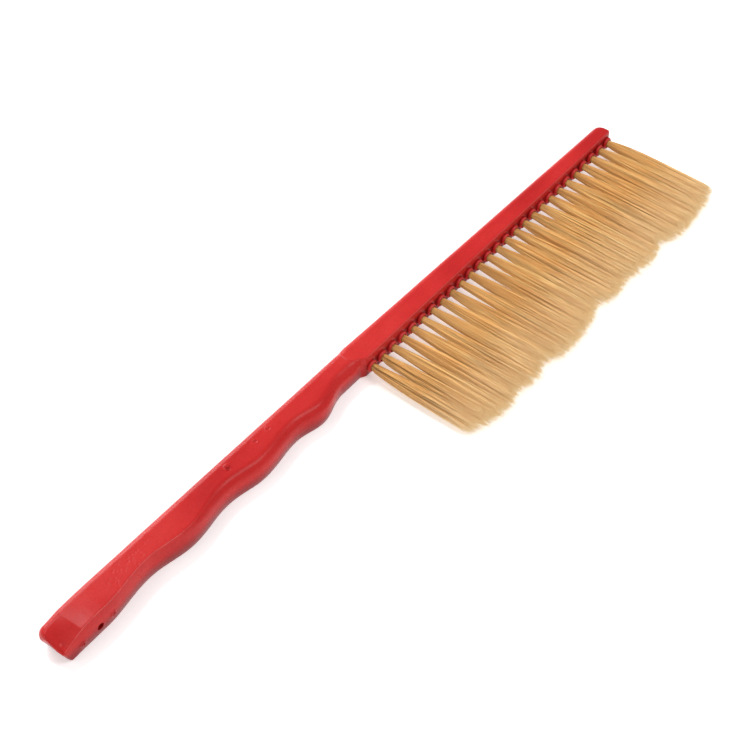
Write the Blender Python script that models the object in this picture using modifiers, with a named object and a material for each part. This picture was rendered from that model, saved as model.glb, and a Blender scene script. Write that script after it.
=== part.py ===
"""Long single-row hand brush: a one-piece moulded handle and beam, 27 staple-set tufts and their anchors.

Design axes, in millimetres: X runs from the butt to the tip, Y = 0 is the plane of the boss mouths with
the tufts reaching out towards -Y, and Z = 0 is the flat underside. An empty moves the whole brush so that
the finished frame has its origin under the middle of the brush.
"""

from math import cos, pi, sqrt

import bmesh
import bpy
from mathutils import Matrix, Vector

MM = 0.001

# Handle and beam
LENGTH = 405.0
# The side that carries the finger grooves and, further on, the tufts: (x, y), eased between points.
FRONT_LINE = [
    (0.0, 0.2),
    (25.0, 0.2),
    (53.4, 3.1),
    (78.5, -0.2),
    (103.0, 2.5),
    (125.3, -0.5),
    (149.0, 1.9),
    (165.0, -0.8),
    (183.5, 3.2),
    (196.0, 3.2),
    (199.5, 1.7),
    (LENGTH, 1.7),
]
# The long plain side, straight between points.
BACK_LINE = [(0.0, 16.5), (30.0, 16.5), (194.0, 15.1), (199.0, 15.8), (376.0, 11.6), (LENGTH, 10.9)]
# Thickness of the moulding, straight between points: the butt slopes down, the rest tapers to the tip.
BUTT_SLOPE_END = 11.6
BUTT_MIDDLE = 18.0
TOP_LINE = [
    (0.0, 8.9),
    (BUTT_SLOPE_END, 13.7),
    (BUTT_MIDDLE, 14.5),
    (195.0, 13.2),
    (200.0, 12.6),
    (LENGTH, 11.0),
]
# The butt slopes down more at the front edge: at the back edge this share of the drop is left out.
BUTT_TWIST = 0.6
TOP_MAX = 14.5
# The butt's end face leans: its bottom edge sits this far in, and the lean is gone by the end of the slope.
BUTT_LEAN = 3.4
BUTT_LEAN_HEIGHT = 8.0
# Where the loft has its sections: every few millimetres over the grooves, far apart along the beam.
GRIP_START, GRIP_END, GRIP_STEP = 25.0, 196.0, 4.0
BEAM_START, BEAM_STEP = 199.5, 20.0
BACK_MAX = BACK_LINE[0][1]

# Edge radii of a section, and how many facets round each edge.
FRONT_TOP_RADIUS, FRONT_TOP_FACETS = 0.8, 2
BACK_TOP_RADIUS, BACK_TOP_FACETS = 3.4, 4
BACK_BOTTOM_RADIUS, BACK_BOTTOM_FACETS = 2.2, 3
FRONT_BOTTOM_RADIUS, FRONT_BOTTOM_FACETS = 1.2, 2
BUTT_EDGE_RADIUS = 0.9
TIP_EDGE_RADIUS = 1.6
BUTT_CORNER_RADIUS = 3.0
TIP_CORNER_RADIUS = 4.8
TIP_FRONT_RADIUS = 3.2
END_FACETS = 4
# Near an end the section is small, and its edge radii shrink to take up at most this share of it.
CORNER_SHARE = 0.9

# Row of bosses
BOSS_COUNT = 27
BOSS_PITCH = 7.6
FIRST_BOSS_X = 202.0
ROW_Z = 5.7
BEAM_FRONT_Y = 1.7
BOSS_RADIUS = 3.1
BOSS_RIM = 0.5
BOSS_ROOT_DEPTH = 1.0
ROUND_STEPS = 16
SOCKET_RADIUS = 2.0
SOCKET_DEPTH = 5.6

# Anchors: a flat wire key across each socket, inside the fold of its tuft.
GAP = 0.3
ANCHOR_WIDTH = 4.6
ANCHOR_DEPTH = 1.8
ANCHOR_THICKNESS = 0.5
ANCHOR_Y = 3.5
ANCHOR_CORNER = 0.5

# Tufts
TUFT_ROOT_RADIUS = SOCKET_RADIUS - GAP
TUFT_ROOT_Y = SOCKET_DEPTH - GAP
TUFT_REACH = 63.0
TUFT_TRIM = 3.0
TRIM_WAVE = 48.5
LONGEST_TUFT = 9
TUFT_SIDES = 10
# Along each tuft: share of the reach, half width, half height, and how far the middle has drooped.
TUFT_RINGS = [
    (0.0, TUFT_ROOT_RADIUS, TUFT_ROOT_RADIUS, 0.0),
    (0.18, 2.5, 2.3, 0.1),
    (0.5, 3.3, 3.5, 0.5),
    (0.94, 3.6, 4.2, 1.1),
    (1.0, 2.6, 2.6, 1.2),
]

# Details near the butt and on the top face
EYE_X, EYE_Z, EYE_RADIUS = 20.6, 6.0, 1.8
EJECTOR_MARKS = [(10.0, 5.4), (28.3, 6.4)]
EJECTOR_RADIUS, EJECTOR_DEPTH = 1.1, 0.3
GATE_X, GATE_Y, GATE_RADIUS, GATE_HEIGHT = 110.7, 9.3, 1.3, 0.4

WELD = 0.00001
SHARP_ANGLE = pi / 5.0


def clear_scene():
    for obj in list(bpy.data.objects):
        bpy.data.objects.remove(obj, do_unlink=True)


def new_collection(name):
    collection = bpy.data.collections.new(name)
    bpy.context.scene.collection.children.link(collection)
    return collection


def principled(name, colour, roughness, metallic):
    material = bpy.data.materials.new(name)
    material.use_nodes = True
    shader = material.node_tree.nodes["Principled BSDF"]
    shader.inputs["Base Color"].default_value = (*colour, 1.0)
    shader.inputs["Roughness"].default_value = roughness
    shader.inputs["Metallic"].default_value = metallic
    return material


def boss_x(index):
    return FIRST_BOSS_X + index * BOSS_PITCH


def between(line, x, eased=False):
    """The line's height at x, straight or with a cosine ease between its points."""
    for (x0, y0), (x1, y1) in zip(line, line[1:]):
        if x <= x1:
            share = (x - x0) / (x1 - x0)
            if eased:
                share = (1.0 - cos(pi * share)) / 2.0
            return y0 + (y1 - y0) * share
    return line[-1][1]


def rounding(radius, distance):
    """How far a quarter-round of this radius pulls a side in, at this distance from the end."""
    if distance >= radius:
        return 0.0
    return radius - sqrt(radius**2 - (radius - distance) ** 2)


def corner(centre, radius, start, facets):
    """Points of one rounded corner of a section, as (y, z), turning a quarter from the start angle."""
    points = []
    for step in range(facets + 1):
        angle = start + pi / 2.0 * step / facets
        points.append((centre[0] + radius * cos(angle), centre[1] + radius * cos(angle - pi / 2.0)))
    return points


def section(x):
    """The moulding's outline at x: a rectangle with its own radius at each edge, as (y, z) points."""
    edge = rounding(BUTT_EDGE_RADIUS, x) + rounding(TIP_EDGE_RADIUS, LENGTH - x)
    front_corner = rounding(BUTT_EDGE_RADIUS, x) + rounding(TIP_FRONT_RADIUS, LENGTH - x)
    back_corner = rounding(BUTT_CORNER_RADIUS, x) + rounding(TIP_CORNER_RADIUS, LENGTH - x)
    front = between(FRONT_LINE, x, eased=True) + front_corner
    back = between(BACK_LINE, x) - back_corner
    low = edge
    high = between(TOP_LINE, x) - edge
    back_high = high + BUTT_TWIST * (TOP_MAX - between(TOP_LINE, x)) * (x < BUTT_MIDDLE)
    fit = min(
        1.0,
        CORNER_SHARE * (back - front) / (BACK_TOP_RADIUS + FRONT_TOP_RADIUS),
        CORNER_SHARE * (high - low) / (BACK_TOP_RADIUS + BACK_BOTTOM_RADIUS),
    )
    corners = [
        (back, low, -1, 1, BACK_BOTTOM_RADIUS, -pi / 2.0, BACK_BOTTOM_FACETS),
        (back, back_high, -1, -1, BACK_TOP_RADIUS, 0.0, BACK_TOP_FACETS),
        (front, high, 1, -1, FRONT_TOP_RADIUS, pi / 2.0, FRONT_TOP_FACETS),
        (front, low, 1, 1, FRONT_BOTTOM_RADIUS, pi, FRONT_BOTTOM_FACETS),
    ]
    points = []
    for y, z, to_y, to_z, full_radius, start, facets in corners:
        radius = full_radius * fit
        points += corner((y + to_y * radius, z + to_z * radius), radius, start, facets)
    return points


def evenly(start, end, step):
    count = round((end - start) / step)
    return [start + (end - start) * index / count for index in range(count + 1)]


def stations():
    """Where the loft has a section: close together at the ends and over the finger grooves."""
    ends = [TIP_CORNER_RADIUS * (1.0 - cos(pi / 2.0 * step / END_FACETS)) for step in range(END_FACETS + 1)]
    neck = (GRIP_END + BEAM_START) / 2.0
    grip = evenly(GRIP_START, GRIP_END, GRIP_STEP)
    beam = evenly(BEAM_START, LENGTH - TIP_CORNER_RADIUS, BEAM_STEP)
    tip = [LENGTH - x for x in reversed(ends)]
    return ends + [BUTT_SLOPE_END, BUTT_MIDDLE] + grip + [neck] + beam[:-1] + tip


def skin_rings(mesh, rings):
    """Faces between each ring of points and the next, with a flat face at each end."""
    for ring, following in zip(rings, rings[1:]):
        for index in range(len(ring)):
            after = (index + 1) % len(ring)
            mesh.faces.new((ring[index], ring[after], following[after], following[index]))
    mesh.faces.new(tuple(reversed(rings[0])))
    mesh.faces.new(tuple(rings[-1]))


def leaning(x, z):
    """Where along X a section's point ends up: near the butt, the lower it is the further in it sits."""
    share = max(0.0, 1.0 - x / BUTT_SLOPE_END) * max(0.0, 1.0 - z / BUTT_LEAN_HEIGHT)
    return x + BUTT_LEAN * share


def loft_moulding():
    """A closed loft through every section, with a flat face at each end."""
    mesh = bmesh.new()
    rings = []
    for x in stations():
        rings.append([mesh.verts.new((leaning(x, z) * MM, y * MM, z * MM)) for y, z in section(x)])
    skin_rings(mesh, rings)
    return mesh


def finish_mesh(mesh, name):
    bmesh.ops.recalc_face_normals(mesh, faces=mesh.faces)
    data = bpy.data.meshes.new(name)
    mesh.to_mesh(data)
    mesh.free()
    data.shade_smooth()
    data.set_sharp_from_angle(angle=SHARP_ANGLE)
    return data


def add_object(name, data, collection, parent, material=None):
    obj = bpy.data.objects.new(name, data)
    collection.objects.link(obj)
    obj.parent = parent
    if material:
        data.materials.append(material)
    return obj


def make_cutter(name, data, collection, parent):
    cutter = add_object(name, data, collection, parent)
    cutter.hide_render = True
    cutter.display_type = "WIRE"
    return cutter


def boolean(obj, cutter, operation):
    modifier = obj.modifiers.new(cutter.name, "BOOLEAN")
    modifier.operation = operation
    modifier.solver = "EXACT"
    modifier.object = cutter


def add_cylinder(mesh, radius, start, end, steps=ROUND_STEPS, end_radius=None):
    """A closed cylinder or cone between two points, added to the mesh."""
    start, end = Vector(start) * MM, Vector(end) * MM
    axis = end - start
    turn = axis.to_track_quat("Z", "Y").to_matrix().to_4x4()
    place = Matrix.Translation((start + end) / 2.0) @ turn
    end_radius = radius if end_radius is None else end_radius
    bmesh.ops.create_cone(
        mesh,
        cap_ends=True,
        segments=steps,
        radius1=radius * MM,
        radius2=end_radius * MM,
        depth=axis.length,
        matrix=place,
    )


def add_block(mesh, middle, size):
    place = Matrix.Translation(Vector(middle) * MM) @ Matrix.Diagonal((*(Vector(size) * MM), 1.0))
    bmesh.ops.create_cube(mesh, size=1.0, matrix=place)


def turned_mesh(name, profile, collection):
    """A solid turned about Z from (radius, height) points that run down its outer side."""
    mesh = bmesh.new()
    verts = [mesh.verts.new((radius * MM, 0.0, height * MM)) for radius, height in profile]
    for one, other in zip(verts, verts[1:]):
        mesh.edges.new((one, other))
    data = bpy.data.meshes.new(name)
    mesh.to_mesh(data)
    mesh.free()
    obj = bpy.data.objects.new(name, data)
    collection.objects.link(obj)
    screw = obj.modifiers.new("turn", "SCREW")
    screw.steps = ROUND_STEPS
    screw.render_steps = ROUND_STEPS
    screw.use_merge_vertices = True
    screw.merge_threshold = WELD
    depsgraph = bpy.context.evaluated_depsgraph_get()
    turned = bpy.data.meshes.new_from_object(obj.evaluated_get(depsgraph))
    bpy.data.objects.remove(obj, do_unlink=True)
    return turned


def repeated_along_row(template, name, turn):
    """One mesh that holds the template once at every boss, and the template itself is dropped."""
    mesh = bmesh.new()
    for index in range(BOSS_COUNT):
        start = len(mesh.verts)
        mesh.from_mesh(template)
        mesh.verts.ensure_lookup_table()
        place = Matrix.Translation((boss_x(index) * MM, 0.0, ROW_Z * MM)) @ turn
        bmesh.ops.transform(mesh, matrix=place, verts=mesh.verts[start:])
    bpy.data.meshes.remove(template)
    return finish_mesh(mesh, name)


def boss_row(collection):
    """All bosses as one mesh: short round stubs with a softened rim, rooted in the beam."""
    profile = [
        (0.0, 0.0),
        (BOSS_RADIUS - BOSS_RIM, 0.0),
        (BOSS_RADIUS, -BOSS_RIM),
        (BOSS_RADIUS, -BEAM_FRONT_Y - BOSS_ROOT_DEPTH),
        (0.0, -BEAM_FRONT_Y - BOSS_ROOT_DEPTH),
    ]
    boss = turned_mesh("boss", profile, collection)
    return repeated_along_row(boss, "bosses", Matrix.Rotation(pi / 2.0, 4, "X"))


def socket_row(collection, frame):
    """All sockets as one mesh, each with two pockets where the ends of its anchor bite into the wall."""
    drill = bmesh.new()
    add_cylinder(drill, SOCKET_RADIUS, (0.0, -1.0, 0.0), (0.0, SOCKET_DEPTH, 0.0))
    drill_object = add_object("socket_drill", finish_mesh(drill, "drill"), collection, frame)
    pocket = bmesh.new()
    size = (ANCHOR_WIDTH + 2.0 * GAP, ANCHOR_DEPTH + 2.0 * GAP, ANCHOR_THICKNESS + 2.0 * GAP)
    add_block(pocket, (0.0, ANCHOR_Y, 0.0), size)
    pocket_object = add_object("anchor_pocket", finish_mesh(pocket, "pocket"), collection, frame)
    boolean(drill_object, pocket_object, "UNION")
    depsgraph = bpy.context.evaluated_depsgraph_get()
    socket = bpy.data.meshes.new_from_object(drill_object.evaluated_get(depsgraph))
    bpy.data.objects.remove(drill_object, do_unlink=True)
    bpy.data.objects.remove(pocket_object, do_unlink=True)
    return repeated_along_row(socket, "sockets", Matrix.Identity(4))


def butt_details():
    """The hanging eye through the narrow way of the handle, and two shallow ejector marks beside it."""
    mesh = bmesh.new()
    add_cylinder(mesh, EYE_RADIUS, (EYE_X, -2.0, EYE_Z), (EYE_X, BACK_MAX + 2.0, EYE_Z))
    face_y = FRONT_LINE[0][1]
    for x, z in EJECTOR_MARKS:
        add_cylinder(mesh, EJECTOR_RADIUS, (x, face_y - 1.0, z), (x, face_y + EJECTOR_DEPTH, z), 12)
    return finish_mesh(mesh, "eye")


def gate_stub():
    """The low stub left on the top face where the moulding was fed."""
    mesh = bmesh.new()
    top = between(TOP_LINE, GATE_X)
    low, high = (GATE_X, GATE_Y, top - 1.0), (GATE_X, GATE_Y, top + GATE_HEIGHT)
    add_cylinder(mesh, GATE_RADIUS * 1.3, low, high, 12, end_radius=GATE_RADIUS)
    return finish_mesh(mesh, "gate")


def make_handle(parts, cutters, frame):
    plastic = principled("red_plastic", (0.63, 0.045, 0.04), 0.38, 0.0)
    handle = add_object("handle", finish_mesh(loft_moulding(), "handle"), parts, frame, plastic)
    bosses = make_cutter("boss_row", boss_row(cutters), cutters, frame)
    gate = make_cutter("gate_stub", gate_stub(), cutters, frame)
    sockets = make_cutter("socket_row", socket_row(cutters, frame), cutters, frame)
    eye = make_cutter("eye_and_marks", butt_details(), cutters, frame)
    boolean(handle, eye, "DIFFERENCE")
    boolean(handle, gate, "UNION")
    boolean(handle, bosses, "UNION")
    boolean(handle, sockets, "DIFFERENCE")


def tuft_reach(index):
    """How far a tuft stands out: the row is trimmed a little unevenly, in shallow scallops."""
    along = (index - LONGEST_TUFT) * BOSS_PITCH
    return TUFT_REACH - TUFT_TRIM * (1.0 - cos(2.0 * pi * along / TRIM_WAVE)) / 2.0


def tuft_mesh(reach):
    """A closed bundle that leaves its socket round and spreads and droops towards the tip."""
    mesh = bmesh.new()
    spine = [(TUFT_ROOT_Y, TUFT_ROOT_RADIUS, TUFT_ROOT_RADIUS, 0.0)]
    spine += [(-share * reach, wide, high, drop) for share, wide, high, drop in TUFT_RINGS]
    rings = []
    for y, wide, high, drop in spine:
        ring = []
        for side in range(TUFT_SIDES):
            angle = 2.0 * pi * (side + 0.5) / TUFT_SIDES
            x, z = wide * cos(angle), high * cos(angle - pi / 2.0) - drop
            ring.append(mesh.verts.new((x * MM, y * MM, z * MM)))
        rings.append(ring)
    skin_rings(mesh, rings)
    return finish_mesh(mesh, "tuft")


def fold_window():
    """The window inside the folded root of a tuft, which the anchor passes through with clearance."""
    mesh = bmesh.new()
    size = (4.0 * SOCKET_RADIUS, ANCHOR_DEPTH + 2.0 * GAP, ANCHOR_THICKNESS + 2.0 * GAP)
    add_block(mesh, (0.0, ANCHOR_Y, 0.0), size)
    return finish_mesh(mesh, "window")


def make_tufts(parts, cutters, frame):
    hair = principled("tan_filament", (0.56, 0.33, 0.13), 0.5, 0.0)
    window = fold_window()
    for index in range(BOSS_COUNT):
        number = f"{index + 1:02d}"
        place = Vector((boss_x(index), 0.0, ROW_Z)) * MM
        tuft = add_object(f"tuft_{number}", tuft_mesh(tuft_reach(index)), parts, frame, hair)
        tuft.location = place
        cutter = make_cutter(f"fold_{number}", window, cutters, frame)
        cutter.location = place
        boolean(tuft, cutter, "DIFFERENCE")


def anchor_mesh():
    """A flat wire key with its corners cut off, lying across the socket."""
    mesh = bmesh.new()
    add_block(mesh, (0.0, 0.0, 0.0), (ANCHOR_WIDTH, ANCHOR_DEPTH, ANCHOR_THICKNESS))
    upright = [edge for edge in mesh.edges if abs(edge.verts[0].co.z - edge.verts[1].co.z) > WELD]
    bmesh.ops.bevel(mesh, geom=upright, offset=ANCHOR_CORNER * MM, segments=1, affect="EDGES")
    return finish_mesh(mesh, "anchor")


def make_anchors(parts, frame):
    wire = principled("anchor_wire", (0.48, 0.47, 0.43), 0.35, 1.0)
    key = anchor_mesh()
    key.materials.append(wire)
    for index in range(BOSS_COUNT):
        anchor = add_object(f"anchor_{index + 1:02d}", key, parts, frame)
        anchor.location = Vector((boss_x(index), ANCHOR_Y, ROW_Z)) * MM


def main():
    clear_scene()
    parts = new_collection("hand_brush")
    cutters = new_collection("cutters")
    frame = bpy.data.objects.new("brush_frame", None)
    parts.objects.link(frame)
    frame.location = Vector((-LENGTH / 2.0, (TUFT_REACH - BACK_MAX) / 2.0, 0.0)) * MM
    make_handle(parts, cutters, frame)
    make_tufts(parts, cutters, frame)
    make_anchors(parts, frame)


main()
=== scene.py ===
from math import cos, pi, radians, sin, sqrt

import bmesh
import bpy
import numpy as np
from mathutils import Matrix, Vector, noise


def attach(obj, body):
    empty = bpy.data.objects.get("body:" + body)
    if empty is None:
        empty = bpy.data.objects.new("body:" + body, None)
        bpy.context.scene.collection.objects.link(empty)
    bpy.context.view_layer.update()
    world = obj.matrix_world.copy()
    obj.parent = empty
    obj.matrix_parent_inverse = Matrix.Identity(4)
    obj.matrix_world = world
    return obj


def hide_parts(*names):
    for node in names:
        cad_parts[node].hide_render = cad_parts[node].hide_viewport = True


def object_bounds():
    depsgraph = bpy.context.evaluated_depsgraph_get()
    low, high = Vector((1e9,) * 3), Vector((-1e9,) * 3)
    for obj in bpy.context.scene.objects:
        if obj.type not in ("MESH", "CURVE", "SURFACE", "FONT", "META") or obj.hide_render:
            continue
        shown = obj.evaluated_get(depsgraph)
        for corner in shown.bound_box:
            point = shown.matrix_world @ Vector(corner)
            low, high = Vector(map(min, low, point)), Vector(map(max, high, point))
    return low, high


# Looks of the long single-row hand brush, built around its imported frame.
#
# Design axes, in millimetres, as in the CAD: X runs from the butt to the tip, Y = 0 is the plane of the
# boss mouths with the filaments reaching out towards -Y, and Z = 0 is the flat underside.

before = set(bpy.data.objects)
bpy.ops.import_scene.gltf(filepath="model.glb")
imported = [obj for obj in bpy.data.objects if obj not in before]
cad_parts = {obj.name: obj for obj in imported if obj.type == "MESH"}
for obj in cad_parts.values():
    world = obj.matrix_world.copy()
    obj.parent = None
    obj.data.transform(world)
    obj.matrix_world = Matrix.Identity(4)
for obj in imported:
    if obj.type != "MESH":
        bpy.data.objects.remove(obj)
CAD_LOW, CAD_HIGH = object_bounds()
MM = 0.001

# Handle and beam: the frame's outline, with more points on its curves and corner radii of its own
LENGTH = (CAD_HIGH.x - CAD_LOW.x) / MM
FRONT_LINE = [
    (0.0, 0.2),
    (25.0, 0.2),
    (53.4, 3.1),
    (78.5, -0.2),
    (103.0, 2.5),
    (125.3, -0.5),
    (149.0, 1.9),
    (165.0, -0.8),
    (183.5, 3.2),
    (196.0, 3.2),
    (199.5, 1.7),
    (LENGTH, 1.7),
]
BACK_LINE = [(0.0, 16.5), (30.0, 16.5), (194.0, 15.1), (199.0, 15.8), (376.0, 11.6), (LENGTH, 10.9)]
BACK_MAX = BACK_LINE[0][1]
BUTT_SLOPE_END = 11.6
BUTT_MIDDLE = 24.0
TOP_MAX = 14.5
TOP_LINE = [
    (0.0, 8.9),
    (BUTT_SLOPE_END, 13.6),
    (14.0, 13.92),
    (17.0, 14.22),
    (20.0, 14.41),
    (BUTT_MIDDLE, TOP_MAX),
    (192.0, 13.25),
    (196.5, 13.05),
    (200.5, 12.65),
    (204.0, 12.57),
    (LENGTH, 11.0),
]
# The share of the butt's drop that its back edge doesn't have
BUTT_TWIST = 0.6
BUTT_LEAN = 3.4
BUTT_LEAN_HEIGHT = 8.0
FRONT_TOP_RADIUS = 1.0
BACK_TOP_RADIUS = 4.2
BACK_BOTTOM_RADIUS = 2.2
FRONT_BOTTOM_RADIUS = 1.2
# What the front's top edge gains in roundness along the grip
SHOULDER_RADIUS = 3.4
BUTT_EDGE_RADIUS = 1.7
TIP_EDGE_RADIUS = 3.0
BUTT_CORNER_RADIUS = 4.0
TIP_CORNER_RADIUS = 4.4
TIP_FRONT_RADIUS = 3.4
# The most of a side that its two rounded corners may take up
CORNER_SHARE = 0.9
ORIGIN = Vector((CAD_LOW.x, CAD_HIGH.y - BACK_MAX * MM, CAD_LOW.z))
SHARP_ANGLE = radians(38.0)

# Hanging eye, bored through from front to back
EYE_X, EYE_Z, EYE_RADIUS = 20.6, 6.0, 1.8
EYE_STEPS = 32

# Fine relief of the moulded skin: places are (x, y) on the top, and (x, z) for the ejector marks in front
PIT_SEED = 40
PIT_COUNT = 46
PIT_MIDDLE, PIT_SPREAD = (46.0, 8.2), (9.0, 2.4)
PIT_DEPTH = 0.10
WELD_X = 192.9
WELD_HEIGHT, SECOND_WELD_HEIGHT = 0.26, 0.16
SECOND_WELD_OFFSET = 4.2
FEED_STUB, FEED_STUB_HEIGHT = (111.1, 9.8), 0.75
FEED_PIT, FEED_PIT_DEPTH = (110.0, 8.2), 0.45
SINK_MARKS = ((129.4, 9.3), (138.5, 9.6))
EJECTOR_MARKS = ((10.0, 5.4), (28.3, 6.4))
NICK, NICK_SIZE, NICK_DEPTH = (2.6, 2.6), (1.2, 2.2), 0.35

# Row of bosses and sockets
BOSS_COUNT = 27
BOSS_PITCH = 7.6
FIRST_BOSS_X = 202.0
ROW_Z = 5.7
BEAM_FRONT_Y = 1.7
BOSS_RADIUS = 3.1
BOSS_RIM = 1.0
# Where the bead's outline starts at the mouth and ends at the root, as angles round its rim
BEAD_START, BEAD_END, BEAD_STEPS = -1.25, 1.30, 9
BOSS_STEPS, SOCKET_STEPS = 40, 32
ROOT_DEPTH = 1.2
SOCKET_RADIUS = 2.0
SOCKET_MOUTH = 0.2
SOCKET_DEPTH = 5.6

# Camera: aim point, heading and elevation of the view, and the lens
AIM = Vector((-3.7, 20.0, 5.0)) * MM
HEADING, ELEVATION, DISTANCE = radians(52.12), radians(48.0), 0.837
LENS, SENSOR = 87.54, 36.0

# Lights, all white discs: name, place in metres, diameter and watts
LIGHTS = [
    ("key", (0.03, 0.785, 1.41), 0.3, 5.5),
    ("fill", (-1.0, 0.4, 1.2), 0.8, 3.0),
    ("back", (0.25, 1.15, 0.55), 0.9, 11.0),
    ("front", (0.3, -0.62, 0.95), 0.6, 4.5),
]
WORLD_STRENGTH = 0.38
FLOOR_REACH = 3.0
FLOOR_GAP = 0.0001
FLOOR_GLOW = 0.385
WHITE = (1.0, 1.0, 1.0)


# ---------------------------------------------------------------- small shared helpers


def boss_x(index):
    return FIRST_BOSS_X + index * BOSS_PITCH


def placed(points):
    """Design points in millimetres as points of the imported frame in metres."""
    return np.asarray(points, float) * MM + np.array(ORIGIN)


def placed_x(*along):
    """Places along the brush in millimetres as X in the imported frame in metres."""
    return [float(x) for x in placed([(x, 0.0, 0.0) for x in along])[:, 0]]


def between(line, x, eased=False):
    """The line's height at x, straight or with a cosine ease between its points."""
    for (x0, y0), (x1, y1) in zip(line, line[1:]):
        if x <= x1:
            share = (x - x0) / (x1 - x0)
            if eased:
                share = (1.0 - cos(pi * share)) / 2.0
            return y0 + (y1 - y0) * share
    return line[-1][1]


def smooth(low, high, value):
    """0 below low, 1 above high, and an even S between them."""
    share = np.clip((value - low) / (high - low), 0.0, 1.0)
    return share * share * (3.0 - 2.0 * share)


def hump(value, middle, half):
    """A soft hump of height 1 that fades to 0 at half a width on either side."""
    return 1.0 - smooth(0.0, half, np.abs(value - middle))


def rounding(radius, distance):
    """How far a rounded edge of this radius falls back at a distance from the end."""
    if distance >= radius:
        return 0.0
    return radius - sqrt(max(radius**2 - (radius - distance) ** 2, 0.0))


def mesh_object(name, points, faces):
    data = bpy.data.meshes.new(name)
    data.from_pydata(placed(points).tolist(), [], faces)
    obj = bpy.data.objects.new(name, data)
    bpy.context.scene.collection.objects.link(obj)
    return obj


def bind(obj, material, slot, *nodes):
    """Finish a piece: its material, the frame nodes it stands for, and the body it rides on. The slot is not
    used.
    """
    obj.data.materials.clear()
    obj.data.materials.append(material)
    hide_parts(*nodes)
    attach(obj, "root")


# ---------------------------------------------------------------- moulded handle


def quarter(centre, radius, start, facets):
    """Points of one rounded corner of a section, as (y, z, outward y, outward z)."""
    points = []
    for step in range(facets + 1):
        angle = start + pi / 2.0 * step / facets
        out_y, out_z = cos(angle), cos(angle - pi / 2.0)
        points.append((centre[0] + radius * out_y, centre[1] + radius * out_z, out_y, out_z))
    return points


def section_corners(x):
    """The corners at x: y, z, the way in, radius, first angle, facets, and steps of the next flat."""
    edge = rounding(BUTT_EDGE_RADIUS, x) + rounding(TIP_EDGE_RADIUS, LENGTH - x)
    front_corner = rounding(BUTT_EDGE_RADIUS, x) + rounding(TIP_FRONT_RADIUS, LENGTH - x)
    back_corner = rounding(BUTT_CORNER_RADIUS, x) + rounding(TIP_CORNER_RADIUS, LENGTH - x)
    front = between(FRONT_LINE, x, eased=True) + front_corner
    back = between(BACK_LINE, x) - back_corner
    low, high = edge, between(TOP_LINE, x) - edge
    back_high = high + BUTT_TWIST * (TOP_MAX - between(TOP_LINE, x)) * (x < BUTT_MIDDLE)
    shoulder = float(smooth(60.0, 105.0, x) * (1.0 - smooth(190.0, 199.0, x)))
    front_top = FRONT_TOP_RADIUS + SHOULDER_RADIUS * shoulder
    fit = min(
        1.0,
        CORNER_SHARE * (back - front) / (BACK_TOP_RADIUS + front_top),
        CORNER_SHARE * (high - low) / (BACK_TOP_RADIUS + BACK_BOTTOM_RADIUS),
    )
    return [
        (back, low, -1, 1, BACK_BOTTOM_RADIUS * fit, -pi / 2.0, 6, 16),
        (back, back_high, -1, -1, BACK_TOP_RADIUS * fit, 0.0, 10, 30),
        (front, high, 1, -1, front_top * fit, pi / 2.0, 10, 26),
        (front, low, 1, 1, FRONT_BOTTOM_RADIUS * fit, pi, 5, 12),
    ]


def section(x):
    """The moulding's outline at x with its four rounded corners and evenly divided flats."""
    arcs = []
    for y, z, to_y, to_z, radius, start, facets, flat in section_corners(x):
        arcs.append((quarter((y + to_y * radius, z + to_z * radius), radius, start, facets), flat))
    points = []
    for (arc, flat), (following, _) in zip(arcs, arcs[1:] + arcs[:1]):
        points += arc
        start, end = np.array(arc[-1]), np.array(following[0])
        points += [tuple(start + (end - start) * step / flat) for step in range(1, flat)]
    return points


def stations():
    """Where the loft has a section: close together wherever the surface carries fine relief."""
    spans = [(2.0, 8.0, 0.5), (8.0, 13.0, 0.3), (13.0, 26.0, 0.6), (26.0, 31.0, 0.3), (31.0, 62.0, 0.35)]
    spans += [(62.0, 108.0, 1.0), (108.0, 114.0, 0.35), (114.0, 128.0, 1.0), (128.0, 140.0, 0.4)]
    spans += [(140.0, 190.0, 1.0), (190.0, 202.0, 0.4), (202.0, LENGTH - TIP_CORNER_RADIUS, 1.9)]
    butt = [2.0 * (1.0 - cos(pi / 2.0 * step / 12)) for step in range(12)]
    tip = [LENGTH - TIP_CORNER_RADIUS * (1.0 - cos(pi / 2.0 * step / 16)) for step in range(17)]
    along = []
    for start, end, pace in spans:
        count = round((end - start) / pace)
        along += [start + (end - start) * step / count for step in range(count)]
    return butt + along + tip[::-1]


def wander(points, size, seed):
    """Smooth noise of about this feature size in millimetres, from -1 to 1 at each point."""
    shift = Vector((seed * 7.3, seed * 3.1, seed * 5.7))
    return np.array([noise.noise(Vector(point) / size + shift) for point in points])


def distance(first, second, centre):
    return np.hypot(first - centre[0], second - centre[1])


def side_swell(points, out_y):
    """The sides' soft swell at half height, strongest along the grip and gone at both ends."""
    x, _, z = points.T
    side = smooth(0.6, 1.0, np.abs(out_y))
    height = np.array([between(TOP_LINE, at) for at in x])
    level = (z - height / 2.0) / (height / 2.0)
    grip = smooth(4.0, 12.0, x) * (1.0 - smooth(190.0, 200.0, x))
    ends = smooth(0.0, 6.0, x) * smooth(0.0, 6.0, LENGTH - x)
    return side * (0.85 * grip + 0.25) * (0.5 - level**2) * ends


def worn_pits(x, y):
    """Depth of the few small shallow pits scattered over the grip's top."""
    rng = np.random.default_rng(PIT_SEED)
    depth = np.zeros(len(x))
    for pit in rng.normal(PIT_MIDDLE, PIT_SPREAD, (PIT_COUNT, 2)):
        depth += PIT_DEPTH * (1.0 - smooth(0.1, 0.6, distance(x, y, pit)))
    return depth


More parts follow.
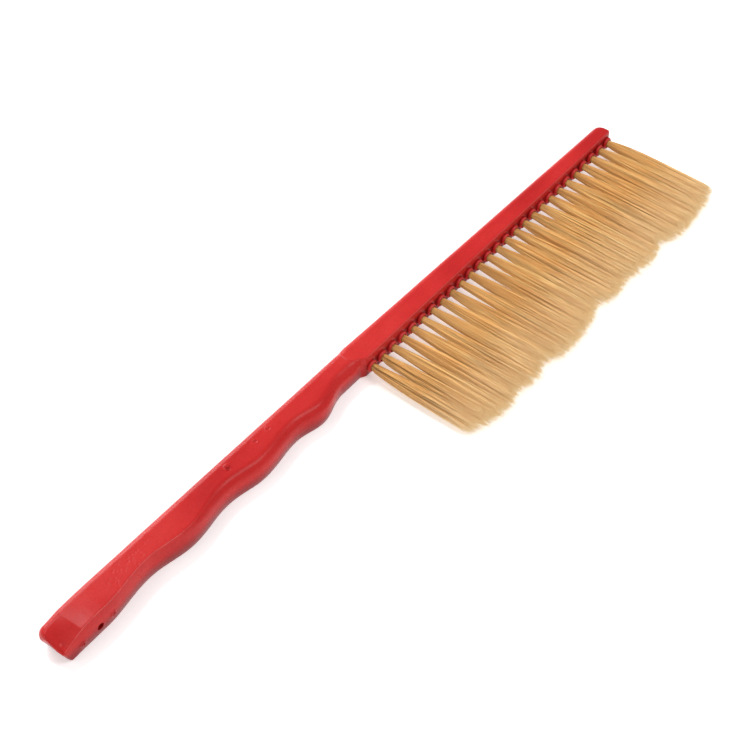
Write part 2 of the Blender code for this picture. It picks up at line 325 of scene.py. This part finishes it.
def weld_lines(points):
    """Height of the weld line that curves across the neck, and of the fainter one on its butt side."""
    x, y, _ = points.T
    weld_x = WELD_X + 1.8 * (1.0 - smooth(3.5, 8.5, y)) + 0.4 * wander(points, 4.0, 5)
    second_x = weld_x - SECOND_WELD_OFFSET - 0.25 * (y - 9.0)
    height = WELD_HEIGHT * hump(x, weld_x, 0.8) * smooth(2.5, 4.5, y)
    return height + SECOND_WELD_HEIGHT * hump(x, second_x, 0.7) * smooth(5.0, 8.0, y)


def top_marks(x, y):
    """Height of the feed stub, with the pit beside it, the sink marks and the nick at the butt's corner."""
    lift = FEED_STUB_HEIGHT * (1.0 - smooth(0.7, 1.6, distance(x, y, FEED_STUB)))
    lift -= FEED_PIT_DEPTH * (1.0 - smooth(0.3, 1.1, distance(x, y, FEED_PIT)))
    for centre in SINK_MARKS:
        away = distance(x, y, centre)
        lift += 0.15 * hump(away, 1.2, 0.6) - 0.42 * (1.0 - smooth(0.2, 1.0, away))
    nick = np.hypot((x - NICK[0]) / NICK_SIZE[0], (y - NICK[1]) / NICK_SIZE[1])
    return lift - NICK_DEPTH * (1.0 - smooth(0.2, 1.0, nick))


def ejector_marks(x, z):
    """Height of the round marks on the butt's front: a raised ring round a shallow dish."""
    lift = np.zeros(len(x))
    for centre in EJECTOR_MARKS:
        away = distance(x, z, centre)
        lift += 0.30 * hump(away, 1.4, 0.6) - 0.30 * (1.0 - smooth(0.5, 1.1, away))
    return lift


def relief(points, out_y, out_z):
    """How far the skin stands out from the plain outline."""
    x, y, z = points.T
    top = smooth(0.75, 1.0, out_z)
    front = smooth(0.6, 1.0, -out_y)
    lift = side_swell(points, out_y)
    lift += 0.10 * wander(points, 34.0, 1) * smooth(0.0, 5.0, x)
    lift += 0.03 * wander(points, 7.0, 2)
    lift += top * (weld_lines(points) + top_marks(x, y) - worn_pits(x, y))
    return lift + front * ejector_marks(x, z)


def leaning(x, z):
    """How far in the butt's leaning end face sets a point: the lower the further."""
    near_butt = np.maximum(0.0, 1.0 - x / BUTT_SLOPE_END)
    return BUTT_LEAN * near_butt * np.maximum(0.0, 1.0 - z / BUTT_LEAN_HEIGHT)


def loft_faces(count, around):
    """Faces of a closed loft of so many rings with so many points around each."""
    faces = []
    for ring in range(count - 1):
        here, there = ring * around, (ring + 1) * around
        for step in range(around):
            after = (step + 1) % around
            faces.append((here + step, here + after, there + after, there + step))
    faces.append(tuple(range(around - 1, -1, -1)))
    faces.append(tuple(range((count - 1) * around, count * around)))
    return faces


def moulding_skin():
    """The whole moulding without its bosses, as one closed loft with relief in its skin."""
    rings = np.array([[(x, *point) for point in section(x)] for x in stations()])
    flat = rings.reshape(-1, 5)
    points, out_y, out_z = flat[:, :3].copy(), flat[:, 3], flat[:, 4]
    size = np.maximum(np.hypot(out_y, out_z), 1e-6)
    out_y, out_z = out_y / size, out_z / size
    lift = relief(points, out_y, out_z)
    points[:, 1] += lift * out_y
    points[:, 2] = np.maximum(points[:, 2] + lift * out_z, 0.0)
    points[:, 0] += leaning(points[:, 0], points[:, 2])
    return mesh_object("moulded_handle", points, loft_faces(*rings.shape[:2]))


def turned_row(name, profile, steps):
    """A solid turned about the boss axis from (radius, y) points, once at every boss."""
    points, faces = [], []
    for index in range(BOSS_COUNT):
        start = len(points)
        points.append((boss_x(index), profile[0][1], ROW_Z))
        for radius, y in profile[1:-1]:
            for step in range(steps):
                angle = 2.0 * pi * (step + 0.5) / steps
                points.append((boss_x(index) + radius * cos(angle), y, ROW_Z + radius * sin(angle)))
        points.append((boss_x(index), profile[-1][1], ROW_Z))
        last, rings = len(points) - 1, len(profile) - 2
        for step in range(steps):
            after = (step + 1) % steps
            faces.append((start, start + 1 + after, start + 1 + step))
            for ring in range(rings - 1):
                here = start + 1 + ring * steps
                faces.append((here + step, here + after, here + steps + after, here + steps + step))
            here = start + 1 + (rings - 1) * steps
            faces.append((last, here + step, here + after))
    return mesh_object(name, points, faces)


def boss_profile():
    """A boss from its mouth back into the beam: a round bead, widest half way and narrower at its root."""
    bead = []
    for step in range(BEAD_STEPS + 1):
        angle = BEAD_START + (BEAD_END - BEAD_START) * step / BEAD_STEPS
        radius = BOSS_RADIUS - BOSS_RIM + BOSS_RIM * cos(angle)
        bead.append((radius, BOSS_RIM * (sin(angle) - sin(BEAD_START))))
    root = (bead[-1][0], BEAM_FRONT_Y + ROOT_DEPTH)
    return [(0.0, 0.0)] + bead + [root, (0.0, root[1])]


def socket_profile():
    """A socket's bore from outside its mouth to its floor, with a small lead-in."""
    mouth = SOCKET_RADIUS + SOCKET_MOUTH
    bore = [(mouth, -1.0), (mouth, 0.05), (SOCKET_RADIUS, 0.4), (SOCKET_RADIUS, SOCKET_DEPTH)]
    return [(0.0, -1.0)] + bore + [(0.0, SOCKET_DEPTH)]


def eye_cutter():
    points, faces, steps = [], [], EYE_STEPS
    for y in (-2.0, BACK_MAX + 2.0):
        for step in range(steps):
            angle = 2.0 * pi * step / steps
            points.append((EYE_X + EYE_RADIUS * cos(angle), y, EYE_Z + EYE_RADIUS * sin(angle)))
    for step in range(steps):
        after = (step + 1) % steps
        faces.append((step, steps + step, steps + after, after))
    faces.append(tuple(range(steps)))
    faces.append(tuple(range(2 * steps - 1, steps - 1, -1)))
    return mesh_object("eye", points, faces)


def outward(obj):
    """The same object, with every face turned outward."""
    mesh = bmesh.new()
    mesh.from_mesh(obj.data)
    bmesh.ops.recalc_face_normals(mesh, faces=mesh.faces)
    mesh.to_mesh(obj.data)
    mesh.free()
    return obj


def combine(obj, tools):
    """Apply each (cutter, operation) in turn, and drop the cutters."""
    outward(obj)
    for cutter, operation in tools:
        modifier = obj.modifiers.new(cutter.name, "BOOLEAN")
        modifier.operation = operation
        modifier.solver = "EXACT"
        modifier.object = outward(cutter)
    depsgraph = bpy.context.evaluated_depsgraph_get()
    result = bpy.data.meshes.new_from_object(obj.evaluated_get(depsgraph))
    obj.modifiers.clear()
    obj.data = result
    for cutter, _ in tools:
        bpy.data.objects.remove(cutter, do_unlink=True)


def make_handle(material):
    handle = moulding_skin()
    tools = [
        (eye_cutter(), "DIFFERENCE"),
        (turned_row("bosses", boss_profile(), BOSS_STEPS), "UNION"),
        (turned_row("sockets", socket_profile(), SOCKET_STEPS), "DIFFERENCE"),
    ]
    combine(handle, tools)
    handle.data.shade_smooth()
    handle.data.set_sharp_from_angle(angle=SHARP_ANGLE)
    bind(handle, material, "red_plastic", "handle")


# ---------------------------------------------------------------- filaments

TUFT_SEED = 500
STRANDS = 500
BUNDLES = 36
ROOT_SPREAD = 1.62
SIDE_SPREAD, HIGH_SPREAD = 4.6, 3.1
TIP_DROOP = 1.3
# How early the strands fan out: the first tufts stay narrow for longer than the last, and a few strands
# in every tuft fan out sooner than the rest
FIRST_PACE, LAST_PACE = 1.45, 2.5
PACE_CHANGE = (8.0, 18.0)
HURRIED_SHARE, HURRY = 0.12, 1.8
STRAND_RADIUS = 0.115
# How far a bundle leans to the side and up, how its length varies, and how tightly it holds together
BUNDLE_LEAN = (0.24, 0.2)
BUNDLE_LENGTH_SPREAD = 0.55
CLUMPING = (0.15, 0.55)
# A few strands stray far from their place, the rest a little
FAR_SHARE, FAR_STRAY, NEAR_STRAY = 0.1, 1.1, 0.22
WAVE_HEIGHT, WAVE_COUNT = 0.06, 1.3
# The trimmed edge of the row: how far the filaments reach at each place along it, in soft scallops.
TRIM_LINE = [
    (194.0, 54.0),
    (198.5, 56.3),
    (204.0, 58.8),
    (213.0, 61.3),
    (222.0, 62.5),
    (228.0, 61.6),
    (231.5, 59.2),
    (236.0, 61.0),
    (243.0, 62.4),
    (250.0, 61.0),
    (253.5, 58.6),
    (258.0, 61.0),
    (265.0, 63.2),
    (272.0, 64.0),
    (282.0, 63.3),
    (292.0, 61.2),
    (298.0, 59.0),
    (301.5, 58.2),
    (305.0, 60.0),
    (310.0, 61.8),
    (318.0, 61.4),
    (322.0, 60.2),
    (330.0, 61.0),
    (343.0, 62.7),
    (350.0, 61.0),
    (354.0, 58.8),
    (359.0, 61.2),
    (364.0, 63.2),
    (371.0, 64.2),
    (383.0, 63.3),
    (395.0, 61.3),
    (400.0, 60.3),
    (404.0, 59.0),
    (410.0, 57.0),
]
# Tufts whose strands on the butt side stand apart from the rest, and by how much.
SPLITS = {0: 0.75, 1: 0.65, 8: 0.35, 16: 0.3}
# Rings folded round the anchor inside the socket, as (y, share of the full fold)
INSIDE = [(5.2, 0.1), (4.6, 1.0), (2.4, 1.0)]
# Rings from the boss mouth to the tip, as shares of the strand's reach
OUTSIDE = [0.0, 0.05, 0.12, 0.21, 0.32, 0.44, 0.57, 0.7, 0.83, 0.93, 1.0]
RING_SHARES = np.array([0.0] * len(INSIDE) + OUTSIDE)


def trim(x):
    line = np.array(TRIM_LINE)
    return np.interp(x, line[:, 0], line[:, 1])


def spiral(count, rng):
    """Evenly packed places in a unit disc, with a little disorder."""
    place = (np.arange(count) + 0.5) / count
    angle = np.arange(count) * pi * (3.0 - sqrt(5.0)) + rng.uniform(0.0, 2.0 * pi)
    disc = np.stack([np.sqrt(place) * np.cos(angle), np.sqrt(place) * np.sin(angle)], axis=1)
    return disc + rng.normal(0.0, 0.03, disc.shape)


def tuft_plan(index, rng):
    """One tuft's strands: each one's bundle, root, tip and reach, and how it strays on the way."""
    disc = spiral(STRANDS, rng)
    heart = spiral(BUNDLES, rng) * 0.85
    bundle = np.argmin(np.linalg.norm(disc[:, None] - heart[None], axis=2), axis=1)
    lean = rng.normal(0.0, 1.0, (BUNDLES, 2)) * BUNDLE_LEAN
    length = rng.normal(0.0, BUNDLE_LENGTH_SPREAD, BUNDLES)
    clump = rng.uniform(*CLUMPING, BUNDLES)[bundle]
    tip = disc * (SIDE_SPREAD, HIGH_SPREAD) + lean[bundle]
    stray = rng.normal(0.0, 1.0, (STRANDS, 2))
    stray *= np.where(rng.random(STRANDS) < FAR_SHARE, FAR_STRAY, NEAR_STRAY)[:, None]
    reach = trim(boss_x(index) + tip[:, 0]) + length[bundle]
    reach += 1.5 - rng.gamma(1.6, 1.6, STRANDS)
    wave = rng.uniform(0.0, 2.0 * pi, (STRANDS, 2))
    pace = FIRST_PACE + (LAST_PACE - FIRST_PACE) * smooth(*PACE_CHANGE, index)
    return {
        "bundle": bundle,
        "root": disc * ROOT_SPREAD,
        "tip": tip,
        "heart": (heart * (SIDE_SPREAD, HIGH_SPREAD) + lean)[bundle],
        "clump": clump,
        "stray": stray,
        "reach": reach,
        "wave": wave,
        "split": SPLITS.get(index, 0.0) * (disc[:, 0] < -0.5),
        "pace": pace * np.where(rng.random(STRANDS) < HURRIED_SHARE, HURRY, 1.0),
    }


def folded_ring(plan, y, fold):
    """Where the strands are inside the socket, parted above and below the anchor."""
    root = plan["root"]
    high = np.sign(root[:, 1]) * (0.42 + 0.74 * np.abs(root[:, 1])) * fold
    return np.stack([root[:, 0] * 0.95, np.full(STRANDS, y), high], axis=1)


def open_ring(plan, share):
    """Where the strands are at a share of their reach."""
    root = plan["root"]
    spread = (1.0 - (1.0 - share) ** plan["pace"])[:, None]
    middle = root + (plan["tip"] - root) * spread
    heart = root + (plan["heart"] - root) * spread
    middle += (heart - middle) * (plan["clump"] * smooth(0.05, 0.75, share))[:, None]
    middle += plan["stray"] * share**1.6
    middle[:, 0] -= plan["split"] * smooth(0.0, 0.06, share) * (1.0 - smooth(0.35, 0.95, share))
    ripple = np.sin(plan["wave"] + 2.0 * pi * WAVE_COUNT * share)
    middle += WAVE_HEIGHT * ripple * smooth(0.05, 0.5, share)
    high = middle[:, 1] - TIP_DROOP * share**1.7
    return np.stack([middle[:, 0], -plan["reach"] * share, high], axis=1)


def strand_paths(index, rng):
    """Centre lines of one tuft's strands as (strand, ring, xyz), and each strand's bundle."""
    plan = tuft_plan(index, rng)
    rings = [folded_ring(plan, y, fold) for y, fold in INSIDE]
    rings += [open_ring(plan, share) for share in OUTSIDE]
    paths = np.stack(rings, axis=1)
    paths += (boss_x(index), 0.0, ROW_Z)
    paths[:, :, 2] = np.maximum(paths[:, :, 2], STRAND_RADIUS * 1.5)
    return paths, plan["bundle"]


def strand_tubes(paths):
    """Three-sided tapered tubes round the paths: their points, and the faces that close them."""
    strands, rings = paths.shape[:2]
    radius = STRAND_RADIUS * (0.8 + 0.35 * smooth(0.0, 0.3, RING_SHARES)) * (1.0 - 0.75 * RING_SHARES**4)
    turn = np.arange(3) * 2.0 * pi / 3.0 + pi / 2.0
    around = np.stack([np.cos(turn), np.zeros(3), np.sin(turn)], axis=1)
    points = paths[:, :, None, :] + radius[None, :, None, None] * around[None, None]
    faces = []
    for ring in range(rings - 1):
        for side in range(3):
            after = (side + 1) % 3
            here, there = ring * 3, ring * 3 + 3
            faces.append((here + side, here + after, there + after, there + side))
    first = (np.arange(strands) * rings * 3)[:, None, None]
    faces = np.array(faces)[None] + first
    ends = np.array([(2, 1, 0), (rings * 3 - 3, rings * 3 - 2, rings * 3 - 1)])[None] + first
    return points.reshape(-1, 3), faces.reshape(-1, 4).tolist() + ends.reshape(-1, 3).tolist()


def colour_strands(tuft, bundle, rng):
    """Per-point values for the material: a random one per strand, one per bundle, and the ring's share."""
    colour = np.ones((STRANDS, len(RING_SHARES) * 3, 4), np.float32)
    colour[:, :, 0] = rng.random(STRANDS)[:, None]
    colour[:, :, 1] = rng.random(BUNDLES)[bundle][:, None]
    colour[:, :, 2] = np.repeat(RING_SHARES, 3)[None]
    layer = tuft.data.color_attributes.new("strand", "FLOAT_COLOR", "POINT")
    layer.data.foreach_set("color", colour.reshape(-1))


def make_tuft(index, material):
    rng = np.random.default_rng(TUFT_SEED + index)
    paths, bundle = strand_paths(index, rng)
    number = f"{index + 1:02d}"
    tuft = mesh_object(f"filaments_{number}", *strand_tubes(paths))
    outward(tuft)
    tuft.data.shade_smooth()
    colour_strands(tuft, bundle, rng)
    bind(tuft, material, "tan_filament", f"tuft_{number}")


# ---------------------------------------------------------------- materials

RED_TONES = [(0.3, (0.51, 0.016, 0.017)), (0.5, (0.60, 0.024, 0.023)), (0.75, (0.68, 0.038, 0.035))]
RED_SPECKS = [(0.3, (0.90, 0.90, 0.90)), (0.7, WHITE)]
# Painted shade: the handle's sides are painted duller and cooler the nearer they are to the floor
LOWER_START, LOWER_END = 0.0035, 0.0108
LOWER_SHADE_TONES = [(0.0, (0.52, 0.25, 0.40)), (0.7, (1.0, 0.7, 0.65)), (1.0, WHITE)]
# Painted shade on the beam's face between the bosses: its colour and its strength
GAP_SHADE_RED, GAP_SHADE_SHARE = (0.10, 0.004, 0.004), 0.75
# Painted highlight along the edge between the top and the front: its colour, its patches, and where it ends
# along the grip
HIGHLIGHT_RED = (0.88, 0.17, 0.16)
HIGHLIGHT_PATCHES = [(0.35, (0.45, 0.45, 0.45)), (0.6, (0.85, 0.85, 0.85))]
HIGHLIGHT_GRIP_END = 66.0

HAIR_TONES = [(0.0, (0.88, 0.47, 0.14)), (0.5, (0.97, 0.57, 0.195)), (1.0, (1.0, 0.66, 0.26))]
STRAND_TONES = [(0.0, (0.74, 0.68, 0.58)), (0.22, WHITE), (1.0, WHITE)]
ROOT_TONES = [(0.0, (0.95, 0.90, 0.80)), (0.35, WHITE), (1.0, WHITE)]
STREAK_TONES = [(0.35, (0.94, 0.90, 0.84)), (0.6, WHITE)]
TIP_TONE = (1.0, 0.77, 0.44)
# Painted glow: the thin tips are made to glow, standing in for light that shines through them
TIP_GLOW = [(0.55, (0.0, 0.0, 0.0)), (1.0, WHITE)]
TIP_GLOW_STRENGTH = 0.1

WIRE_TONES = [(0.3, (0.40, 0.40, 0.37)), (0.7, (0.62, 0.61, 0.57))]
PAPER_TONES = [(0.3, (0.94, 0.94, 0.94)), (0.7, (0.97, 0.97, 0.97))]


def new_material(name):
    """A node material: itself, its tree, and its Principled shader."""
    material = bpy.data.materials.new(name)
    material.use_nodes = True
    return material, material.node_tree, material.node_tree.nodes["Principled BSDF"]


def add_node(tree, kind, values=None, links=None, **settings):
    """A node with its settings, its plain input values, and its inputs joined to other sockets."""
    node = tree.nodes.new(kind)
    for name, value in settings.items():
        setattr(node, name, value)
    for name, value in (values or {}).items():
        node.inputs[name].default_value = value
    for name, socket in (links or {}).items():
        tree.links.new(socket, node.inputs[name])
    return node


def ramp(tree, source, stops):
    """A colour ramp over a 0 to 1 value, from (place, colour) stops."""
    node = add_node(tree, "ShaderNodeValToRGB", links={"Fac": source})
    elements = node.color_ramp.elements
    while len(elements) < len(stops):
        elements.new(0.5)
    for element, (place, colour) in zip(elements, stops):
        element.position = place
        element.color = (*colour, 1.0)
    return node.outputs["Color"]


def blended(tree, share, first, second, blend="MIX"):
    """Two colours mixed: the share and each colour may be a socket or a plain value."""
    node = add_node(tree, "ShaderNodeMix", data_type="RGBA", blend_type=blend)
    for socket, value in ((node.inputs[0], share), (node.inputs[6], first), (node.inputs[7], second)):
        if isinstance(value, bpy.types.NodeSocket):
            tree.links.new(value, socket)
        else:
            socket.default_value = value if isinstance(value, float) else (*value, 1.0)
    return node.outputs[2]


def multiplied(tree, first, second):
    links = {0: first, 1: second}
    return add_node(tree, "ShaderNodeMath", links=links, operation="MULTIPLY").outputs[0]


def mapped(tree, source, start, end, low=0.0, high=1.0):
    """The source's range from start to end as low to high, and level beyond it."""
    values = {"From Min": start, "From Max": end, "To Min": low, "To Max": high}
    return add_node(tree, "ShaderNodeMapRange", values, {"Value": source}).outputs["Result"]


def object_axes(tree, name):
    """X, Y and Z of a texture coordinate, as three sockets by name."""
    place = add_node(tree, "ShaderNodeTexCoord").outputs[name]
    return add_node(tree, "ShaderNodeSeparateXYZ", links={"Vector": place}).outputs


def grain(tree, scale, detail=3.0, stretch=(1.0, 1.0, 1.0), roughness=0.5):
    """Noise at a place in the object, stretched along its axes."""
    place = add_node(tree, "ShaderNodeTexCoord").outputs["Object"]
    mapping = add_node(tree, "ShaderNodeMapping", {"Scale": stretch}, {"Vector": place})
    values = {"Scale": scale, "Detail": detail, "Roughness": roughness}
    return add_node(tree, "ShaderNodeTexNoise", values, {"Vector": mapping.outputs[0]}).outputs["Fac"]


def bump(tree, shader, source, strength, depth):
    values = {"Strength": strength, "Distance": depth}
    node = add_node(tree, "ShaderNodeBump", values, {"Height": source})
    tree.links.new(node.outputs["Normal"], shader.inputs["Normal"])


def gap_shade_mask(tree, axes):
    """Painted shade: a share that reaches its full strength on the beam's face between the bosses, where
    shade falls, and is 0 elsewhere.
    """
    low = placed((FIRST_BOSS_X - 5.0, 1.4, ROW_Z + 2.2)).tolist()
    high = placed((FIRST_BOSS_X - 2.0, 1.65, ROW_Z + 3.8)).tolist()
    inside_start, inside_end = placed([(0.0, 2.2, 0.0), (0.0, 3.0, 0.0)])[:, 1].tolist()
    share = mapped(tree, axes["X"], low[0], high[0], high=GAP_SHADE_SHARE)
    limits = [("Y", low[1], high[1]), ("Z", high[2], low[2]), ("Y", inside_end, inside_start)]
    for axis, start, end in limits:
        share = multiplied(tree, share, mapped(tree, axes[axis], start, end))
    return share


def edge_highlight(tree, along):
    """Painted highlight on the edge between the top and the front, on the butt's half of the grip and along
    the row.
    """
    facing = object_axes(tree, "Normal")
    grip_end, grip_fade = placed_x(HIGHLIGHT_GRIP_END, HIGHLIGHT_GRIP_END + 8.0)
    row_start, row_full = placed_x(FIRST_BOSS_X - 4.0, FIRST_BOSS_X)
    grip = mapped(tree, along, grip_fade, grip_end)
    row = mapped(tree, along, row_start, row_full, high=0.45)
    share = add_node(tree, "ShaderNodeMath", links={0: grip, 1: row}, operation="ADD").outputs[0]
    for axis, start, end in (("Z", 0.35, 0.65), ("Y", -0.3, -0.6)):
        share = multiplied(tree, share, mapped(tree, facing[axis], start, end))
    patches = ramp(tree, grain(tree, 160.0, 3.0), HIGHLIGHT_PATCHES)
    return multiplied(tree, share, patches)


def red_plastic():
    """Moulded red plastic: clouded colour, painted shade low on the handle's sides and between the bosses, a
    painted highlight along the front top edge, a satin skin of uneven gloss, and fine orange peel.
    """
    material, tree, shader = new_material("moulded_red_plastic")
    axes = object_axes(tree, "Object")
    colour = ramp(tree, grain(tree, 42.0, 4.0, (0.5, 1.0, 1.0)), RED_TONES)
    specks = ramp(tree, grain(tree, 900.0, 2.0), RED_SPECKS)
    colour = blended(tree, 1.0, colour, specks, "MULTIPLY")
    # Painted shade on the handle's sides, darker and cooler towards the floor; the beam is left out
    handle_end, row_start = placed_x(FIRST_BOSS_X - 7.0, FIRST_BOSS_X - 3.0)
    handle_part = mapped(tree, axes["X"], row_start, handle_end)
    lower = ramp(tree, mapped(tree, axes["Z"], LOWER_START, LOWER_END), LOWER_SHADE_TONES)
    colour = blended(tree, handle_part, colour, lower, "MULTIPLY")
    # Painted shade between the bosses
    colour = blended(tree, gap_shade_mask(tree, axes), colour, GAP_SHADE_RED)
    # Painted highlight on the front top edge, and along the row on the bosses' front tops
    colour = blended(tree, edge_highlight(tree, axes["X"]), colour, HIGHLIGHT_RED)
    tree.links.new(colour, shader.inputs["Base Color"])
    gloss = mapped(tree, grain(tree, 120.0, 3.0), 0.0, 1.0, 0.2, 0.36)
    tree.links.new(gloss, shader.inputs["Roughness"])
    shader.inputs["IOR"].default_value = 1.49
    shader.inputs["Specular IOR Level"].default_value = 0.16
    bump(tree, shader, grain(tree, 1400.0, 3.0, roughness=0.6), 0.22, 0.0002)
    return material


def filament():
    """Soft tan filament: every strand and every bundle has its own tone, paler towards the tips, with a
    painted glow at the tips.
    """
    material, tree, shader = new_material("tan_filament_fibre")
    layer = add_node(tree, "ShaderNodeAttribute", attribute_name="strand")
    parts = add_node(tree, "ShaderNodeSeparateColor", links={"Color": layer.outputs["Color"]})
    strand, bundle, along = (parts.outputs[name] for name in ("Red", "Green", "Blue"))
    colour = ramp(tree, bundle, HAIR_TONES)
    streaks = grain(tree, 300.0, 3.0, (1.0, 0.06, 1.0))
    for source, stops in ((strand, STRAND_TONES), (along, ROOT_TONES), (streaks, STREAK_TONES)):
        colour = blended(tree, 1.0, colour, ramp(tree, source, stops), "MULTIPLY")
    colour = blended(tree, mapped(tree, along, 0.45, 1.0, high=0.9), colour, TIP_TONE)
    tree.links.new(colour, shader.inputs["Base Color"])
    # Painted glow at the tips
    glow = blended(tree, 1.0, colour, ramp(tree, along, TIP_GLOW), "MULTIPLY")
    tree.links.new(glow, shader.inputs["Emission Color"])
    shader.inputs["Emission Strength"].default_value = TIP_GLOW_STRENGTH
    tree.links.new(mapped(tree, strand, 0.0, 1.0, 0.38, 0.55), shader.inputs["Roughness"])
    shader.inputs["Specular IOR Level"].default_value = 0.4
    shader.inputs["Sheen Weight"].default_value = 0.5
    shader.inputs["Sheen Tint"].default_value = (1.0, 0.86, 0.62, 1.0)
    return material


def anchor_wire():
    """Drawn and flattened wire: bright metal with fine lengthwise draw marks."""
    material, tree, shader = new_material("drawn_anchor_wire")
    draw = grain(tree, 2500.0, 2.0, (0.05, 1.0, 1.0))
    tree.links.new(ramp(tree, draw, WIRE_TONES), shader.inputs["Base Color"])
    tree.links.new(mapped(tree, draw, 0.0, 1.0, 0.22, 0.42), shader.inputs["Roughness"])
    shader.inputs["Metallic"].default_value = 1.0
    bump(tree, shader, draw, 0.2, 0.00005)
    return material


def white_paper():
    """The plain pale floor."""
    material, tree, shader = new_material("white_paper")
    tree.links.new(ramp(tree, grain(tree, 60.0, 4.0), PAPER_TONES), shader.inputs["Base Color"])
    shader.inputs["Emission Color"].default_value = (*WHITE, 1.0)
    shader.inputs["Emission Strength"].default_value = FLOOR_GLOW
    shader.inputs["Roughness"].default_value = 0.9
    shader.inputs["Specular IOR Level"].default_value = 0.1
    bump(tree, shader, grain(tree, 900.0, 3.0), 0.05, 0.0001)
    return material


# ---------------------------------------------------------------- stage, lights and camera


def make_floor():
    corners = [(-1, -1), (1, -1), (1, 1), (-1, 1)]
    height = CAD_LOW.z - FLOOR_GAP
    data = bpy.data.meshes.new("floor")
    data.from_pydata([(FLOOR_REACH * x, FLOOR_REACH * y, height) for x, y in corners], [], [(0, 1, 2, 3)])
    floor = bpy.data.objects.new("floor", data)
    bpy.context.scene.collection.objects.link(floor)
    data.materials.append(white_paper())


def area_light(name, place, size, watts):
    """A white disc light that faces the middle of the brush."""
    data = bpy.data.lights.new(name, "AREA")
    data.shape = "DISK"
    data.size = size
    data.energy = watts
    data.color = WHITE
    light = bpy.data.objects.new(name, data)
    bpy.context.scene.collection.objects.link(light)
    light.location = place
    light.rotation_euler = (-Vector(place)).to_track_quat("-Z", "Y").to_euler()


def make_lights():
    world = bpy.data.worlds.new("studio")
    world.use_nodes = True
    background = world.node_tree.nodes["Background"]
    background.inputs["Color"].default_value = (*WHITE, 1.0)
    background.inputs["Strength"].default_value = WORLD_STRENGTH
    bpy.context.scene.world = world
    for light in LIGHTS:
        area_light(*light)


def make_camera():
    data = bpy.data.cameras.new("camera")
    data.lens = LENS
    data.sensor_width = SENSOR
    camera = bpy.data.objects.new("camera", data)
    bpy.context.scene.collection.objects.link(camera)
    ahead = Vector((sin(HEADING) * cos(ELEVATION), cos(HEADING) * cos(ELEVATION), -sin(ELEVATION)))
    camera.location = AIM - ahead * DISTANCE
    camera.rotation_euler = ahead.to_track_quat("-Z", "Y").to_euler()
    bpy.context.scene.camera = camera
    bpy.context.scene.view_settings.view_transform = "Standard"


make_camera()
make_floor()
make_lights()
make_handle(red_plastic())
hair = filament()
for index in range(BOSS_COUNT):
    make_tuft(index, hair)
wire = anchor_wire()
for index in range(BOSS_COUNT):
    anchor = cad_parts[f"anchor_{index + 1:02d}"]
    anchor.data.materials.clear()
    anchor.data.materials.append(wire)
